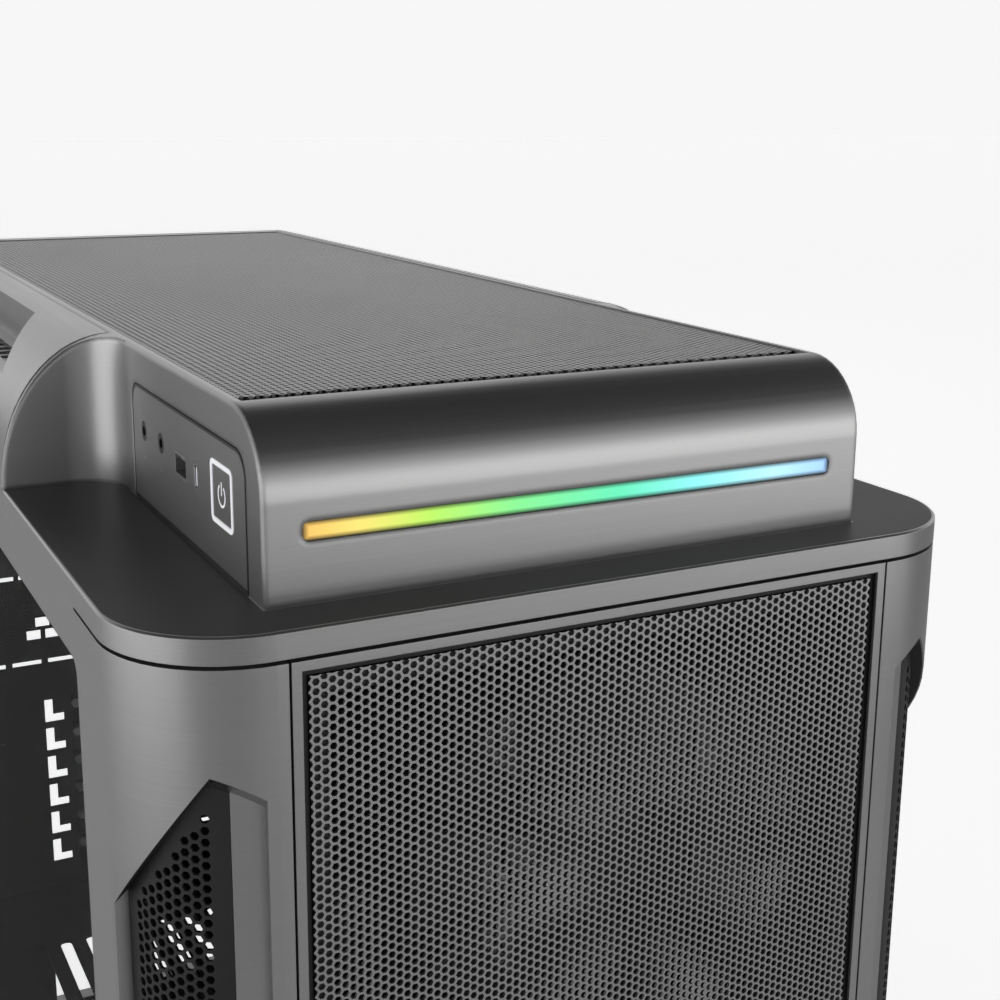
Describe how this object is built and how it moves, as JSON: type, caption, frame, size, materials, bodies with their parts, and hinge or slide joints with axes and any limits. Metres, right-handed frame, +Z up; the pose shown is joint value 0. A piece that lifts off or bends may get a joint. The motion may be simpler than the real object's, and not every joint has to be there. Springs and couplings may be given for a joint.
{
  "type": "mid tower pc case",
  "caption": "Tower computer case with a raised mesh-topped spine, arched shoulders, light bar, front mesh between rounded pillars and hinged glass side doors",
  "frame": {"origin": "middle of the bounding box, on the floor under the pads", "axes": "+X is the case's right side seen from the front, the front faces -Y, +Z is up"},
  "size_m": [0.3, 0.62, 0.58],
  "materials": {
    "gunmetal": "satin metallic paint, finely brushed",
    "deck_black": "dark satin",
    "mesh_grey": "satin painted perforated sheet",
    "steel_black": "fine black powder coat",
    "door_glass": "clear tempered glass",
    "smoked_glass": "dark tinted tempered glass",
    "hinge_metal": "black painted metal",
    "screw_steel": "bright zinc",
    "brass": "plain turned",
    "light": "lit diffuser, yellow through green to pale blue",
    "ring_light": "lit white ring",
    "port_metal": "plated sheet",
    "jack_black": "moulded",
    "board": "lacquered board",
    "fan_frame": "moulded, fine texture",
    "fan_rotor": "moulded, satin",
    "plastic_black": "moulded, fine texture",
    "rubber": "soft rubber"
  },
  "bodies": {
    "chassis": {"spine_shell": "gunmetal", "top_deck": "gunmetal", "left_side_frame": "gunmetal", "right_side_frame": "gunmetal", "front_panel_frame": "gunmetal", "base_rim": "gunmetal", "port_panel": "gunmetal", "deck_inlay": "deck_black", "front_mesh": "mesh_grey", "top_mesh": "mesh_grey", "left_shoulder_grille": "mesh_grey", "right_shoulder_grille": "mesh_grey", "front_bracket": "steel_black", "top_bracket": "steel_black", "rear_panel": "steel_black", "base_pan": "steel_black", "motherboard_tray": "steel_black", "psu_shroud": "steel_black", "slot_covers": "steel_black", "drive_brackets": "steel_black", "slot_screws": "screw_steel", "door_magnets": "screw_steel", "standoffs": "brass", "light_bar": "light", "power_ring": "ring_light", "usb_a_port": "port_metal", "usb_c_port": "port_metal", "sound_jack_front": "jack_black", "sound_jack_rear": "jack_black", "port_board": "board", "light_strip": "board", "front_fan_frame_1": "fan_frame", "front_fan_frame_2": "fan_frame", "front_fan_frame_3": "fan_frame", "rear_fan_frame": "fan_frame", "left_pillar_mesh": "plastic_black", "right_pillar_mesh": "plastic_black", "filter_rails": "plastic_black", "panel_clips": "plastic_black", "foot_front_left": "plastic_black", "foot_front_right": "plastic_black", "foot_rear_left": "plastic_black", "foot_rear_right": "plastic_black", "foot_pads": "rubber", "cable_grommets": "rubber"},
    "left_door": {"left_door_glass": "door_glass", "left_door_hinges": "hinge_metal"},
    "right_door": {"right_door_glass": "smoked_glass", "right_door_hinges": "hinge_metal"},
    "button": {"power_button": "gunmetal"},
    "filter": {"bottom_filter": "plastic_black"},
    "fan_1": {"front_fan_rotor_1": "fan_rotor"},
    "fan_2": {"front_fan_rotor_2": "fan_rotor"},
    "fan_3": {"front_fan_rotor_3": "fan_rotor"},
    "fan_rear": {"rear_fan_rotor": "fan_rotor"}
  },
  "joints": [
    {"name": "left_door_swing", "type": "hinge", "parent": "chassis", "child": "left_door", "pos_m": [-0.1445, 0.2452, 0.28], "axis": [0, 0, -1], "range_deg": [0, 110]},
    {"name": "right_door_swing", "type": "hinge", "parent": "chassis", "child": "right_door", "pos_m": [0.1445, 0.2452, 0.28], "axis": [0, 0, 1], "range_deg": [0, 110]},
    {"name": "power_press", "type": "slide", "parent": "chassis", "child": "button", "axis": [1, 0, 0], "range_m": [0, 0.0015], "stiffness_N_per_m": 1500},
    {"name": "filter_pull", "type": "slide", "parent": "chassis", "child": "filter", "axis": [0, 1, 0], "range_m": [0, 0.24]},
    {"name": "front_fan_spin_1", "type": "hinge", "parent": "chassis", "child": "fan_1", "pos_m": [0, -0.2863, 0.426], "axis": [0, 1, 0], "continuous": true},
    {"name": "front_fan_spin_2", "type": "hinge", "parent": "chassis", "child": "fan_2", "pos_m": [0, -0.2863, 0.286], "axis": [0, 1, 0], "continuous": true},
    {"name": "front_fan_spin_3", "type": "hinge", "parent": "chassis", "child": "fan_3", "pos_m": [0, -0.2863, 0.146], "axis": [0, 1, 0], "continuous": true},
    {"name": "rear_fan_spin", "type": "hinge", "parent": "chassis", "child": "fan_rear", "pos_m": [-0.058, 0.2713, 0.432], "axis": [0, 1, 0], "continuous": true}
  ]
}
